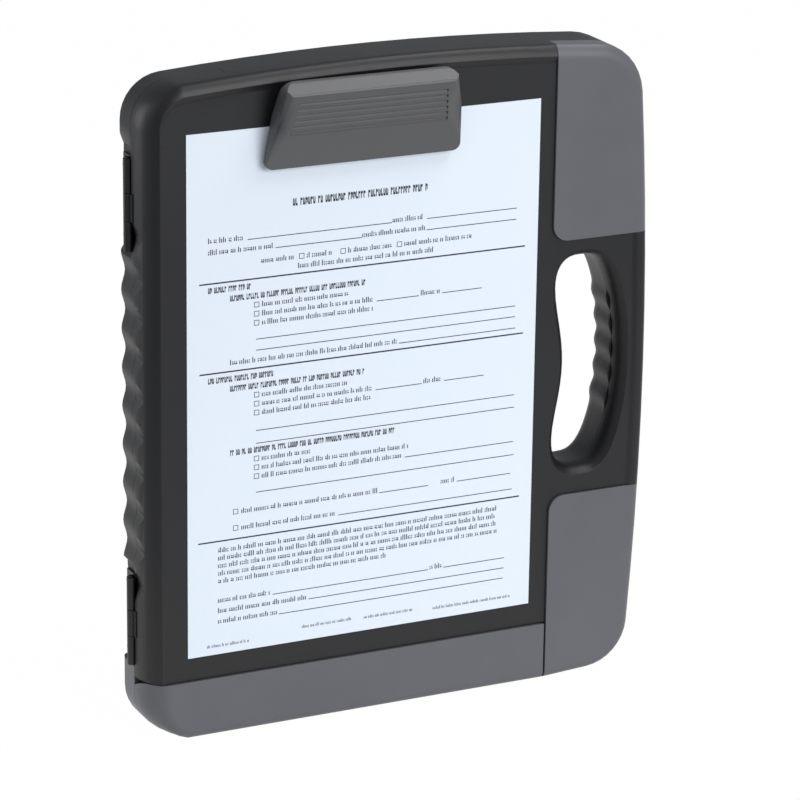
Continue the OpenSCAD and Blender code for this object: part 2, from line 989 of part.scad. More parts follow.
module tray_screws() {
  color(STEEL)
    place()
      for (x = tray_screw_x)
        translate([x, tray_screw_y, tray_h - wall])
          rotate([180, 0, 0])
            screw(wall + seam_gap + wall - 0.4);
}

// Lid hinges: one leaf inside the lid, one on the floor of the pocket in the rear shell
lid_leaf_x = pocket_x + pocket_wall;
lid_leaf_y = [lid_back - 3.1, lid_back - 0.1];
lid_plate_y = [8, lid_leaf_y[1]];
base_plate_y = [hinge_y + barrel_r + 0.6, case_d - edge_r + 2];
base_screw_y = base_plate_y[0] + 5.6;
lid_screw_y = 13;
leaf_screw_len = pocket_wall - 0.6;

module on_hinges() {
  for (z = hinge_zs)
    translate([0, 0, z])
      children();
}

module lid_leaf_screw_holes() {
  on_hinges()
    for (h = leaf_screw_z)
      translate([0, lid_screw_y, h])
        rod_x(pocket_x + 0.8, lid_leaf_x + past, screw_r);
}

module base_leaf_screw_holes() {
  on_hinges()
    for (h = leaf_screw_z)
      translate([0, base_screw_y, h])
        rod_x(pocket_x - past, pocket_x + leaf_screw_len, screw_r);
}

module knuckle(z0, z1, bore) {
  translate([hinge_x, hinge_y, z0])
    difference() {
      cylinder(r = barrel_r, h = z1 - z0);
      translate([0, 0, -past])
        cylinder(r = bore, h = z1 - z0 + 2 * past);
    }
}

module base_leaf() {
  difference() {
    union() {
      base_knuckle(0, knuckle_low - 0.2);
      base_knuckle(knuckle_low + knuckle_mid + 0.2, hinge_len);
      tall_box([pocket_x - leaf_t, pocket_x], base_plate_y, [0, hinge_len]);
    }
    for (h = leaf_screw_z)
      translate([0, base_screw_y, h])
        rod_x(-case_w, pocket_x + past, screw_r + 0.1);
  }
}

module base_knuckle(z0, z1) {
  knuckle(z0, z1, hinge_pin_r);
  difference() {
    tall_box([hinge_x + 0.8, pocket_x], [hinge_y + 0.9, base_plate_y[0] + 0.2], [z0, z1]);
    translate([hinge_x, hinge_y, z0 - past])
      cylinder(r = barrel_r - 0.2, h = z1 - z0 + 2 * past);
  }
}

module lid_leaf() {
  z = [knuckle_low + 0.1, knuckle_low + knuckle_mid - 0.1];
  knuckle(z[0], z[1], hinge_pin_r + pin_clear);
  difference() {
    union() {
      tall_box([hinge_x, lid_leaf_x + 0.2], lid_leaf_y, z);
      tall_box([hinge_x, hinge_x + barrel_r - 0.1], [lid_leaf_y[0], hinge_y - 0.3], z);
    }
    translate([hinge_x, hinge_y, z[0] - past])
      cylinder(r = barrel_r - 0.3, h = z[1] - z[0] + 2 * past);
  }
  difference() {
    tall_box([lid_leaf_x, lid_leaf_x + leaf_t], lid_plate_y, [0, hinge_len]);
    for (h = leaf_screw_z)
      translate([0, lid_screw_y, h])
        rod_x(0, case_w, screw_r + 0.1);
  }
}

module hinge_pin() {
  translate([hinge_x, hinge_y, 0])
    cylinder(r = hinge_pin_r, h = hinge_len);
  translate([hinge_x, hinge_y, hinge_len])
    cylinder(r = pin_knob_r, h = pin_knob_h);
}

pin_knob_r = 1.6;
pin_knob_h = 0.8;

module upper_hinge_base_leaf() {
  color(BLACK)
    place()
      translate([0, 0, hinge_high_z])
        base_leaf();
}

module upper_hinge_lid_leaf() {
  color(BLACK)
    place()
      translate([0, 0, hinge_high_z])
        lid_leaf();
}

module upper_hinge_pin() {
  color(STEEL)
    place()
      translate([0, 0, hinge_high_z])
        hinge_pin();
}

module lower_hinge_base_leaf() {
  color(BLACK)
    place()
      translate([0, 0, hinge_low_z])
        base_leaf();
}

module lower_hinge_lid_leaf() {
  color(BLACK)
    place()
      translate([0, 0, hinge_low_z])
        lid_leaf();
}

module lower_hinge_pin() {
  color(STEEL)
    place()
      translate([0, 0, hinge_low_z])
        hinge_pin();
}

module base_leaf_screws() {
  color(STEEL)
    place()
      on_hinges()
        for (h = leaf_screw_z)
          translate([pocket_x - leaf_t, base_screw_y, h])
            rotate([0, -90, 0])
              screw(leaf_t + leaf_screw_len - 0.4);
}

module lid_leaf_screws() {
  color(STEEL)
    place()
      on_hinges()
        for (h = leaf_screw_z)
          translate([lid_leaf_x + leaf_t, lid_screw_y, h])
            rotate([0, 90, 0])
              screw(leaf_t + leaf_screw_len - 0.4);
}

// Clip. Its face leans out from the jaw to the thumb edge.
pivot_y = -6;
pivot_z = clip_z + 0.6 * clip_h;
clip_top = clip_z + clip_h;
ear_t = 3;
ear_inset = 2;
ear_gap = 0.3;
ear_r = clip_pin_r + 1.7;
base_ear_x = clip_side - clip_skin - ear_t - ear_inset;
jaw_r = 4;
thumb_r = 7;
cheek_steps = 3;

// The clip seen from the front: a trapezium with rounded corners
function clip_corners(by) = [
  [-clip_w / 2 + by, clip_z + by, jaw_r],
  [clip_w / 2 - by, clip_z + by, jaw_r],
  [clip_w / 2 - clip_taper / 2 - by, clip_top - by, thumb_r],
  [-clip_w / 2 + clip_taper / 2 + by, clip_top - by, thumb_r]
];

function rounded(list, by) = [
  for (i = [0:len(list) - 1])
    let (
      n = len(list),
      p = [list[i][0], list[i][1]],
      a = [list[(i + n - 1) % n][0], list[(i + n - 1) % n][1]] - p,
      b = [list[(i + 1) % n][0], list[(i + 1) % n][1]] - p,
      u = a / norm(a),
      v = b / norm(b),
      half = acos(u * v) / 2,
      r = max(list[i][2] - by, 1),
      c = p + r / sin(half) * (u + v) / norm(u + v),
      from = heading(c, p + r / tan(half) * u),
      sweep = 180 - 2 * half
    )
    for (k = [0:arc_steps])
      let (t = from + sweep * k / arc_steps)
      c + r * [cos(t), sin(t)]
];

module clip_plan(by) {
  translate([clip_x, 0])
    polygon(rounded(clip_corners(by), by));
}

// The clip seen from the side, in Y and Z
lean = (thumb_out - jaw_out) / (clip_h - thumb_roll);
bend_steps = 3;
bend_low_r = 2.5;
bend_top_r = 3;
slope_dir = [-cos(45), sin(45)];
bend_low = [-thumb_out + bend_low_r, clip_top - thumb_roll];
slope_size = thumb_roll - bend_low_r * sin(45) - bend_top_r * (1 - sin(45));
bend_top = bend_low + (bend_low_r - bend_top_r) * slope_dir + [slope_size, slope_size];

function bend(c, r, from) = [
  for (k = [0:bend_steps])
    let (a = from + 45 * k / bend_steps)
    c + r * [-cos(a), sin(a)]
];

function skin_line(in) = concat(
  [[-jaw_out + in, clip_z]],
  bend(bend_low + [in, 0], bend_low_r, 0),
  bend(bend_top + [in, 0], bend_top_r, 45)
);

module side_profile(in, back) {
  points = concat(skin_line(in), back);
  translate([-case_w, 0, 0])
    rotate([90, 0, 90])
      linear_extrude(3 * case_w)
        polygon(points);
}

// Half of space behind one plane of the rounded edge between the clip's face and its side. The
// rounding starts at nothing a little below the thumb edge and widens upwards.
module cheek_plane(by, a) {
  z0 = clip_top - thumb_roll - cheek_h;
  z1 = clip_top - thumb_roll;
  low = [half_width(z0), -jaw_out - lean * (z0 - clip_z), z0];
  high = [
    half_width(z1) - cheek_r + cheek_r * sin(a),
    -thumb_out + cheek_r - cheek_r * cos(a),
    z1
  ];
  n = cross(high - low, [cos(a), sin(a), 0]);
  out = n / norm(n) * sign(n[0]);
  far = case_w;
  up = (high - low) / norm(high - low);
  across = cross(out, up);
  base = low - by * out;
  corners = [
    for (d = [0, -far], j = [-far, far], k = [-far, far])
      base + d * out + j * up + k * across
  ];
  polyhedron(
    points = corners,
    faces = [
      [0, 1, 3, 2], [4, 6, 7, 5], [0, 4, 5, 1], [2, 3, 7, 6], [0, 2, 6, 4], [1, 5, 7, 3]
    ]
  );
}

function half_width(z) = clip_w / 2 - clip_taper / 2 * (z - clip_z) / clip_h;

module cheeks(by) {
  translate([clip_x, 0, 0])
    intersection_for(i = [0:cheek_steps - 1]) {
      cheek_plane(by, (i + 0.5) * 90 / cheek_steps);
      mirror([1, 0, 0])
        cheek_plane(by, (i + 0.5) * 90 / cheek_steps);
    }
}

skirt_back = [
  [-thumb_out + skirt_d + 1, clip_top],
  [-thumb_out + skirt_d + 4, clip_top - 6],
  [pivot_y + ear_r + 0.5, pivot_z],
  [-0.6, clip_z + 6],
  [-0.6, clip_z]
];

module clip_lever() {
  color(BLACK)
    place()
      difference() {
        union() {
          moulded()
            lever_skin();
          for (s = [-1, 1])
            lever_boss(s);
        }
        clip_bores(clip_pin_r + pin_clear);
        clip_grooves();
      }
}

module lever_skin() {
  difference() {
    intersection() {
      side_profile(0, skirt_back);
      slab(-case_d, case_d)
        clip_plan(0);
      cheeks(0);
    }
    intersection() {
      side_profile(clip_skin, [[case_d, clip_top], [case_d, clip_z]]);
      slab(-case_d, case_d)
        clip_plan(clip_skin);
      cheeks(clip_skin);
    }
  }
}

module lever_boss(s) {
  intersection() {
    translate([clip_x + s * (base_ear_x + ear_t + ear_gap), pivot_y, pivot_z])
      translate([s > 0 ? 0 : -clip_w, 0, 0])
        rod_x(0, clip_w, ear_r);
    side_profile(1, skirt_back);
    slab(-case_d, case_d)
      clip_plan(1);
  }
}

module clip_bores(r) {
  translate([clip_x, pivot_y, pivot_z])
    rod_x(-clip_side + 0.6, clip_side - 0.6, r);
}

module clip_grooves() {
  top = clip_top - thumb_roll - groove_drop;
  for (i = [0:groove_count - 1])
    let (
      z = top - i * groove_pitch,
      y = -jaw_out - (z - clip_z) * lean,
      w = clip_w / 2 - clip_taper / 2 * (z - clip_z) / clip_h - 8
    )
    translate([clip_x - w, y, z])
      rotate([-atan(1 / lean), 0, 0])
        groove(2 * w);
}

module groove(w) {
  rotate([90, 0, 90])
    linear_extrude(w)
      polygon([
        [-past, -groove_mouth / 2],
        [0, -groove_low / 2],
        [groove_d, 0],
        [0, groove_low / 2],
        [-past, groove_mouth / 2]
      ]);
}

module clip_base() {
  color(BLACK)
    place()
      difference() {
        union() {
          tall_box([clip_x - base_x, clip_x + base_x], [base_face, board_recess], base_z);
          for (x = [clip_x - base_ear_x - ear_t, clip_x + base_ear_x])
            base_ear(x);
        }
        translate([clip_x, pivot_y, pivot_z])
          rod_x(-clip_side, clip_side, clip_pin_r);
        for (x = clip_screw_x)
          translate([x, 0, clip_screw_z])
            rod_y(base_face - past, board_recess + past, screw_r + 0.1);
      }
}

module base_ear(x) {
  translate([0, pivot_y, pivot_z])
    rod_x(x, x + ear_t, ear_r);
  translate([x, 0, 0])
    rotate([90, 0, 90])
      linear_extrude(ear_t)
        polygon([
          [pivot_y, pivot_z - ear_r],
          [base_face + 0.5, base_z[0]],
          [base_face + 0.5, pivot_z + 2.5 * ear_r],
          [pivot_y - ear_r * 0.5, pivot_z + ear_r * 0.87]
        ]);
}

module clip_screws() {
  color(STEEL)
    place()
      for (x = clip_screw_x)
        translate([x, base_face, clip_screw_z])
          rotate([90, 0, 0])
            screw(base_t + clip_screw_len - board_recess);
}

module clip_pin() {
  color(STEEL)
    place()
      translate([clip_x, pivot_y, pivot_z])
        rod_x(-clip_side + 0.9, clip_side - 0.9, clip_pin_r);
}

// Torsion springs on the pin, each drawn as a sleeve with its leg on the clip's base
spring_r = clip_pin_r + 1.3;
wire_r = 0.4;
spring_len = 12;
spring_out = 16;
spring_x = [clip_x - spring_out - spring_len, clip_x + spring_out];

module clip_springs() {
  color(STEEL)
    place()
      for (x = spring_x) {
        translate([0, pivot_y, pivot_z])
          difference() {
            rod_x(x, x + spring_len, spring_r);
            rod_x(x - past, x + spring_len + past, clip_pin_r + 0.3);
          }
        translate([x + 2 * wire_r, 0, pivot_z - (spring_r + clip_pin_r + 0.3) / 2])
          rod_y(pivot_y, base_face, wire_r);
      }
}

// Rubber strip that presses on the sheet
pad_h = 5;
pad_z = [clip_z + clip_skin, clip_z + clip_skin + pad_h];
pad_face = board_recess - sheet_t;

function inner_skin(z) = clip_skin - jaw_out - (z - clip_z) * lean;

module clip_pad() {
  color(BLACK)
    place()
      translate([clip_x - clip_w / 2 + clip_skin + 2, 0, 0])
        rotate([90, 0, 90])
          linear_extrude(clip_w - 2 * clip_skin - 4)
            polygon([
              [inner_skin(pad_z[0]), pad_z[0]],
              [pad_face, pad_z[0]],
              [pad_face, pad_z[1]],
              [inner_skin(pad_z[1]), pad_z[1]]
            ]);
}

module form_sheet() {
  color(PAPER)
    place()
      tall_box([sheet_x, sheet_end], [pad_face, board_recess], [sheet_z, sheet_top]);
}

rear_shell();
pen_tray();
pen_door();
pen_door_pin();
tray_screws();
front_shell();
corner_cover_top();
corner_cover_bottom();
upper_hinge_base_leaf();
upper_hinge_lid_leaf();
upper_hinge_pin();
lower_hinge_base_leaf();
lower_hinge_lid_leaf();
lower_hinge_pin();
base_leaf_screws();
lid_leaf_screws();
clip_base();
clip_screws();
clip_lever();
clip_pin();
clip_springs();
clip_pad();
form_sheet();
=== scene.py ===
"""Looks of the portable storage clipboard box: plastics, steel, paper, studio and camera."""

import json
import math

import bmesh
import bpy
from mathutils import Matrix, Vector

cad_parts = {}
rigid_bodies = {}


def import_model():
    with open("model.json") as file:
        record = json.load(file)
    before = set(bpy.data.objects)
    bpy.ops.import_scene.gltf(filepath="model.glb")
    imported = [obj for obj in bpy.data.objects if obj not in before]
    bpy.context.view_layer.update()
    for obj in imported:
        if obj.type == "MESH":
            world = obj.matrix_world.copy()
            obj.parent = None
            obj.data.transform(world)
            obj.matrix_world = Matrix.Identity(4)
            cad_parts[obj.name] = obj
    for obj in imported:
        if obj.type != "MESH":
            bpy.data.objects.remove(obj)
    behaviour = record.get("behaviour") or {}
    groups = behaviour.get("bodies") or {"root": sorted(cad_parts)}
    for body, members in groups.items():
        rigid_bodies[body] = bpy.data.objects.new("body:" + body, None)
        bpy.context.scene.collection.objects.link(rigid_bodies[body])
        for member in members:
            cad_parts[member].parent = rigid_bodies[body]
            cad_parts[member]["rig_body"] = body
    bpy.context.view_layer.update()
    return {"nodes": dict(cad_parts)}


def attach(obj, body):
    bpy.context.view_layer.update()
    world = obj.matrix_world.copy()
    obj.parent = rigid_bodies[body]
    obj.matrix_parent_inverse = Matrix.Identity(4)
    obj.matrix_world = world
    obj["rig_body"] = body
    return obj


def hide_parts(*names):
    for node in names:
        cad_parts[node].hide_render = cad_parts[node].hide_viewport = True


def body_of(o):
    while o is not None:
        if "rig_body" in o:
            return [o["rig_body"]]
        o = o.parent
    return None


bl_info = {
    "name": "Storage clipboard box",
    "version": (1, 0, 0),
    "blender": (4, 5, 0),
    "location": "View3D > Sidebar > Clipboard box",
    "description": "Dresses the clipboard box and sets its studio",
    "category": "Object",
}

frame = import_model()

MM = 0.001
WELD = 0.000002
SMOOTH_ANGLE = math.radians(33)
# From the case's lower left front corner to the model's origin
SHIFT = Vector((-147.7, -10.05, 0.0)) * MM

# How many bumps of each pattern lie on a metre
FINE_GRAIN = 2600.0
COARSE_GRAIN = 900.0
FLOW_MARKS = 14.0

BLACK_COAT = (0.006, 0.006, 0.007)
ZINC = (0.55, 0.55, 0.57)
DARK_STEEL = (0.05, 0.05, 0.055)
PAD_BLACK = (0.02, 0.02, 0.02)

# Millimetres: the sheet's left edge and front face on the case, and sizes in the print
SHEET_X = 23.5
SHEET_Y = 1.0
INK_LIFT = 0.03
THICK_RULE = 0.8
BOX_LINE = 0.35
RULE_DROP = 0.2

FLOOR_GREY = (0.8, 0.8, 0.8)
FLOOR_MIDDLE = (1.6, 3.6, 0.0)
FLOOR_SIZE = (4.0, 8.0)
FLOOR_GLOW = 0.99
ROOM_TINT = (0.92, 0.95, 1.0)
WHITE = (1.0, 1.0, 1.0)
LAMP_AIM = (0.0, 0.0, 0.18)
LAMPS = (
    # name, place, width and height, share of the key lamp's power
    ("key_lamp", (0.7, -2.15, 0.95), (1.1, 1.1), 1.0),
    ("hinge_side_lamp", (-1.7, 0.95, 0.5), (0.5, 1.3), 0.38),
    ("top_lamp", (0.75, -0.4, 1.75), (1.5, 0.35), 0.42),
)

# The camera: its turn, fall and tilt, its distance from the point it looks at, and its lens
YAW = 0.4496
RISE = 0.32187
ROLL = 0.01432
REACH = 2.126255
AIM = (156.355, 19.05, 170.735)
LENS = 175.5
SENSOR_WIDTH = 36.0
CLIP_NEAR = 0.05
CLIP_FAR = 60.0


def case(x, y, z):
    """A point given in millimetres from the case's lower left front corner."""
    return Vector((x, y, z)) * MM + SHIFT


def scaled(colour, by, plus=0.0):
    return tuple(min(1.0, c * by + plus) for c in colour)


class Value:
    """A number socket that takes Python's operators."""

    def __init__(self, graph, socket):
        self.graph = graph
        self.socket = socket

    def __add__(self, other):
        return self.graph.math("ADD", self, other)

    __radd__ = __add__

    def __sub__(self, other):
        return self.graph.math("SUBTRACT", self, other)

    def __rsub__(self, other):
        return self.graph.math("SUBTRACT", other, self)

    def __mul__(self, other):
        return self.graph.math("MULTIPLY", self, other)

    __rmul__ = __mul__

    def __or__(self, other):
        return self.graph.math("MAXIMUM", self, other)

    def clamp(self):
        return self.graph.math("ADD", self, 0.0, clamp=True)

    def swing(self, span):
        """A pattern's swing about its middle, span wide from its lowest to its highest."""
        return (self - 0.5) * span


class Graph:
    """The nodes of a material or of the world."""

    def __init__(self, owner, output_kind):
        self.owner = owner
        owner.use_nodes = True
        self.tree = owner.node_tree
        self.tree.nodes.clear()
        self.output = self.tree.nodes.new(output_kind)
        self.place = None

    def node(self, kind, settings=None, **inputs):
        """Adds a node, then sets what it is and its sockets. A socket's name has _ for a space."""
        made = self.tree.nodes.new(kind)
        for key, value in (settings or {}).items():
            setattr(made, key, value)
        for key, value in inputs.items():
            self.feed(self.socket(made, key), value)
        return made

    @staticmethod
    def socket(made, key):
        """The input with this name, or the one with this number after a single _."""
        if key[0] == "_":
            return made.inputs[int(key[1:])]
        wanted = key.replace("_", " ")
        for socket in made.inputs:
            if socket.enabled and socket.name == wanted:
                return socket
        raise KeyError(f"{made.bl_idname} has no input {wanted}")

    def feed(self, socket, value):
        if isinstance(value, Value):
            self.tree.links.new(value.socket, socket)
        elif isinstance(value, bpy.types.NodeSocket):
            self.tree.links.new(value, socket)
        elif socket.type == "RGBA":
            socket.default_value = (*value, 1.0)
        else:
            socket.default_value = value

    def math(self, operation, *values, clamp=False):
        made = self.node("ShaderNodeMath", {"operation": operation, "use_clamp": clamp})
        for i, value in enumerate(values):
            self.feed(made.inputs[i], value)
        return Value(self, made.outputs[0])

    def noise(self, scale, detail=2.0, roughness=0.5):
        if self.place is None:
            self.place = self.node("ShaderNodeTexCoord").outputs["Object"]
        made = self.node(
            "ShaderNodeTexNoise", Vector=self.place,
            Scale=scale, Detail=detail, Roughness=roughness,
        )
        return Value(self, made.outputs["Fac"])

    def mix(self, factor, a, b):
        made = self.node("ShaderNodeMix", {"data_type": "RGBA"}, Factor=factor, A=a, B=b)
        return made.outputs[2]

    def bump(self, height, distance, strength, **normal):
        made = self.node(
            "ShaderNodeBump", Height=height, Distance=distance, Strength=strength, **normal,
        )
        return made.outputs[0]

    def soft_edges(self, radius):
        """A rounded look for the small edges that a mould leaves."""
        return self.node("ShaderNodeBevel", {"samples": 6}, Radius=radius).outputs[0]

    def surface(self, **inputs):
        return self.finish(self.node("ShaderNodeBsdfPrincipled", **inputs).outputs[0])

    def seen_or(self, other_ray):
        """1 for a ray from the camera or of the other kind, and 0 for the rest."""
        path = self.node("ShaderNodeLightPath")
        return Value(self, path.outputs["Is Camera Ray"]) | Value(self, path.outputs[other_ray])

    def finish(self, shader):
        self.feed(self.output.inputs[0], shader)
        return self.owner


def new_finish(name):
    return Graph(bpy.data.materials.new(name), "ShaderNodeOutputMaterial")


def moulded_plastic(name, colour, rough, grain, gloss=0.4):
    """Spark-eroded plastic: a fine pebble grain, faint flow marks, and painted shade that darkens
    its narrow grooves, seams and inner corners.
    """
    f = new_finish(name)
    open_air = f.node(
        "ShaderNodeAmbientOcclusion", {"samples": 8, "only_local": True}, Distance=0.0012,
    ).outputs["AO"]
    # Painted shade: ambient occlusion finds narrow grooves, seams and inner corners, and the colour
    # is darkened there
    painted_crease_shade = (1.0 - Value(f, open_air)) * 2.4
    fine = f.noise(FINE_GRAIN, 1.0)
    coarse = f.noise(COARSE_GRAIN, 1.0)
    flow = f.noise(FLOW_MARKS, 3.0, 0.6)
    tint = ((flow.swing(0.22) + fine.swing(0.16)) * 2.2 + 0.5).clamp()
    shade = f.mix(tint, scaled(colour, 0.72), scaled(colour, 1.35))
    return f.surface(
        # Painted shade: the colour goes nearly black where the occlusion is strong
        Base_Color=f.mix(painted_crease_shade.clamp(), shade, scaled(colour, 0.15)),
        Roughness=(rough + flow.swing(0.12) + fine.swing(0.08)).clamp(),
        Specular_IOR_Level=gloss,
        Normal=f.bump(fine * 0.6 + coarse * 0.4, grain, 0.55, Normal=f.soft_edges(0.0005)),
    )


def steel_finish(name, colour, rough):
    f = new_finish(name)
    marks = f.noise(300.0, 3.0, 0.6)
    return f.surface(
        Base_Color=f.mix(marks, scaled(colour, 0.8), colour),
        Metallic=1.0,
        Roughness=(rough + marks.swing(0.2)).clamp(),
        Normal=f.bump(marks, 0.00002, 0.4, Normal=f.soft_edges(0.0002)),
    )


def coated_metal(name, colour, rough):
    """Black coated sheet steel, worn to grey on its high spots."""
    f = new_finish(name)
    marks = f.noise(420.0, 3.0, 0.6)
    wear = ((f.noise(60.0, 4.0, 0.7) - 0.62) * 6.0).clamp()
    return f.surface(
        Base_Color=f.mix(wear * 0.5, colour, scaled(colour, 3.0, 0.02)),
        Roughness=(rough + marks.swing(0.15) + wear * 0.1).clamp(),
        Normal=f.bump(marks, 0.00003, 0.5, Normal=f.soft_edges(0.0003)),
    )


def rubber_finish(name, colour):
    f = new_finish(name)
    marks = f.noise(1500.0)
    return f.surface(
        Base_Color=f.mix(marks, scaled(colour, 0.8), scaled(colour, 1.3)),
        Roughness=(0.75 + marks.swing(0.2)).clamp(),
        Normal=f.bump(marks, 0.00004, 0.6),
    )


def paper_finish(name, colour):
    f = new_finish(name)
    pulp = f.noise(700.0, 4.0, 0.6)
    cloud = f.noise(9.0)
    tint = (pulp.swing(0.5) + cloud.swing(0.6) + 0.5).clamp()
    return f.surface(
        Base_Color=f.mix(tint, scaled(colour, 0.955), colour),
        Roughness=(0.62 + pulp.swing(0.2)).clamp(),
        Specular_IOR_Level=0.25,
        Normal=f.bump(pulp, 0.00003, 0.35),
    )


def ink_finish(name, colour):
    f = new_finish(name)
    spread = f.noise(1800.0)
    return f.surface(
        Base_Color=f.mix(spread, colour, scaled(colour, 2.0, 0.004)),
        Roughness=(0.5 + spread.swing(0.2)).clamp(),
    )


def backdrop_finish(name, colour):
    """Plain to the lamps, white to the camera and to reflections, with the object's shadow kept."""
    f = new_finish(name)
    plain_floor = f.node(
        "ShaderNodeBsdfPrincipled",
        Base_Color=f.mix(f.noise(3.0, 1.0), scaled(colour, 0.99), colour), Roughness=0.9,
    )
    glow = f.node("ShaderNodeEmission", Color=WHITE, Strength=1.0)
    both = f.node(
        "ShaderNodeMixShader", Fac=f.seen_or("Is Glossy Ray") * FLOOR_GLOW,
        _1=plain_floor.outputs[0], _2=glow.outputs[0],
    )
    return f.finish(both.outputs[0])


def room_light(strength):
    """Even light on the object, with plain white behind it."""
    world = Graph(bpy.data.worlds.new("studio"), "ShaderNodeOutputWorld")
    soft = world.node("ShaderNodeBackground", Color=ROOM_TINT, Strength=strength)
    white = world.node("ShaderNodeBackground", Color=WHITE, Strength=1.0)
    both = world.node(
        "ShaderNodeMixShader", Fac=world.seen_or("Is Transmission Ray"),
        _1=soft.outputs[0], _2=white.outputs[0],
    )
    return world.finish(both.outputs[0])


def link(name, data):
    thing = bpy.data.objects.new(name, data)
    bpy.context.scene.collection.objects.link(thing)
    return thing


def new_mesh(name, maker, finish):
    """An object whose mesh a function draws in a bmesh."""
    mesh = bpy.data.meshes.new(name)
    bm = bmesh.new()
    maker(bm)
    bm.to_mesh(mesh)
    bm.free()
    mesh.materials.append(finish)
    return link(name, mesh)


def new_piece(name, maker, finish, body):
    """A new mesh that rides on a body."""
    piece = new_mesh(name, maker, finish)
    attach(piece, body)
    return piece


def dress(node, finish):
    """Gives a CAD node its finish."""
    slots = frame["nodes"][node].data.materials
    slots.clear()
    slots.append(finish)


def smooth_piece(node, finish):
    """A moulded CAD node's copy, shaded smoothly, which stands for the node."""
    source = frame["nodes"][node]

    def merged(bm):
        bm.from_mesh(source.data)
        bmesh.ops.remove_doubles(bm, verts=bm.verts, dist=WELD)
        bmesh.ops.dissolve_degenerate(bm, dist=WELD, edges=bm.edges)
        for face in bm.faces:
            face.smooth = True
        for edge in bm.edges:
            edge.smooth = edge.is_manifold and edge.calc_face_angle() < SMOOTH_ANGLE

    piece = new_piece(node + "_moulded", merged, finish, body_of(source)[0])
    even = piece.modifiers.new("even_normals", "WEIGHTED_NORMAL")
    even.keep_sharp = True
    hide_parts(node)


class CasePlastics(bpy.types.PropertyGroup):
    shell_colour: bpy.props.FloatVectorProperty(
        name="Shell colour", description="Dark grey of the two shells",
        subtype="COLOR", size=3, default=(0.0095, 0.0095, 0.0107), min=0.0, max=1.0,
    )
    trim_colour: bpy.props.FloatVectorProperty(
        name="Trim colour", description="Grey of the corner covers, the pen tray and its door",
        subtype="COLOR", size=3, default=(0.108, 0.110, 0.122), min=0.0, max=1.0,
    )
    clip_colour: bpy.props.FloatVectorProperty(
        name="Clip colour", description="Grey of the clip",
        subtype="COLOR", size=3, default=(0.086, 0.086, 0.088), min=0.0, max=1.0,
    )
    roughness: bpy.props.FloatProperty(
        name="Roughness", description="How dull the moulded plastic is",
        default=0.44, min=0.2, max=0.9, subtype="FACTOR",
    )
    grain: bpy.props.FloatProperty(
        name="Grain depth", description="Depth of the moulded grain",
        default=0.00012, min=0.0, max=0.0005, unit="LENGTH", precision=5,
    )


class PaperSizes(bpy.types.PropertyGroup):
    paper_colour: bpy.props.FloatVectorProperty(
        name="Paper colour", description="Pale blue of the sheet",
        subtype="COLOR", size=3, default=(0.775, 0.850, 0.940), min=0.0, max=1.0,
    )
    ink_colour: bpy.props.FloatVectorProperty(
        name="Ink colour", description="Colour of the printed rules",
        subtype="COLOR", size=3, default=(0.008, 0.008, 0.012), min=0.0, max=1.0,
    )
    rule_width: bpy.props.FloatProperty(
        name="Rule width", description="Width of a printed writing line",
        default=0.00045, min=0.0001, max=0.001, unit="LENGTH", precision=5,
    )


class StudioSizes(bpy.types.PropertyGroup):
    key_power: bpy.props.FloatProperty(
        name="Key lamp", description="Power of the main lamp",
        default=32.0, min=0.0, max=500.0, unit="POWER",
    )
    world_strength: bpy.props.FloatProperty(
        name="Room light", description="Strength of the even light from all round",
        default=0.4, min=0.0, max=2.0,
    )


class OBJECT_OT_dress_shells(bpy.types.Operator):
    """Give the two dark shells their moulded plastic"""

    bl_idname = "clipboard_box.dress_shells"
    bl_label = "Dark shells"

    def execute(self, context):
        p = context.scene.case_plastics
        finish = moulded_plastic("dark_shell_plastic", tuple(p.shell_colour), p.roughness, p.grain)
        for node in ("rear_shell", "front_shell"):
            smooth_piece(node, finish)
        return {"FINISHED"}


class OBJECT_OT_dress_trim(bpy.types.Operator):
    """Give the covers, the pen tray and its door their grey plastic"""

    bl_idname = "clipboard_box.dress_trim"
    bl_label = "Grey trim"

    def execute(self, context):
        p = context.scene.case_plastics
        finish = moulded_plastic(
            "grey_trim_plastic", tuple(p.trim_colour), p.roughness - 0.02, p.grain * 0.8,
        )
        for node in ("pen_tray", "pen_door", "corner_cover_top", "corner_cover_bottom"):
            smooth_piece(node, finish)
        return {"FINISHED"}


class OBJECT_OT_dress_hardware(bpy.types.Operator):
    """Give the hinges, pins, screws and springs their metal"""

    bl_idname = "clipboard_box.dress_hardware"
    bl_label = "Hardware"

    def execute(self, context):
        black = coated_metal("black_hinge_coating", BLACK_COAT, 0.42)
        zinc = steel_finish("zinc_plated_steel", ZINC, 0.32)
        dark_steel = steel_finish("blackened_steel", DARK_STEEL, 0.35)
        for node in (
            "upper_hinge_base_leaf", "upper_hinge_lid_leaf",
            "lower_hinge_base_leaf", "lower_hinge_lid_leaf",
        ):
            dress(node, black)
        for node in ("upper_hinge_pin", "lower_hinge_pin"):
            dress(node, dark_steel)
        for node in (
            "pen_door_pin", "tray_screws", "base_leaf_screws", "lid_leaf_screws",
            "clip_screws", "clip_pin", "clip_springs",
        ):
            dress(node, zinc)
        return {"FINISHED"}


class OBJECT_OT_dress_clip(bpy.types.Operator):
    """Give the clip, its base and its pad their finishes"""

    bl_idname = "clipboard_box.dress_clip"
    bl_label = "Clip"

    def execute(self, context):
        p = context.scene.case_plastics
        finish = moulded_plastic(
            "clip_plastic", tuple(p.clip_colour), p.roughness - 0.02, p.grain * 0.4, 0.45,
        )
        dress("clip_base", finish)
        smooth_piece("clip_lever", finish)
        dress("clip_pad", rubber_finish("pad_rubber", PAD_BLACK))
        return {"FINISHED"}


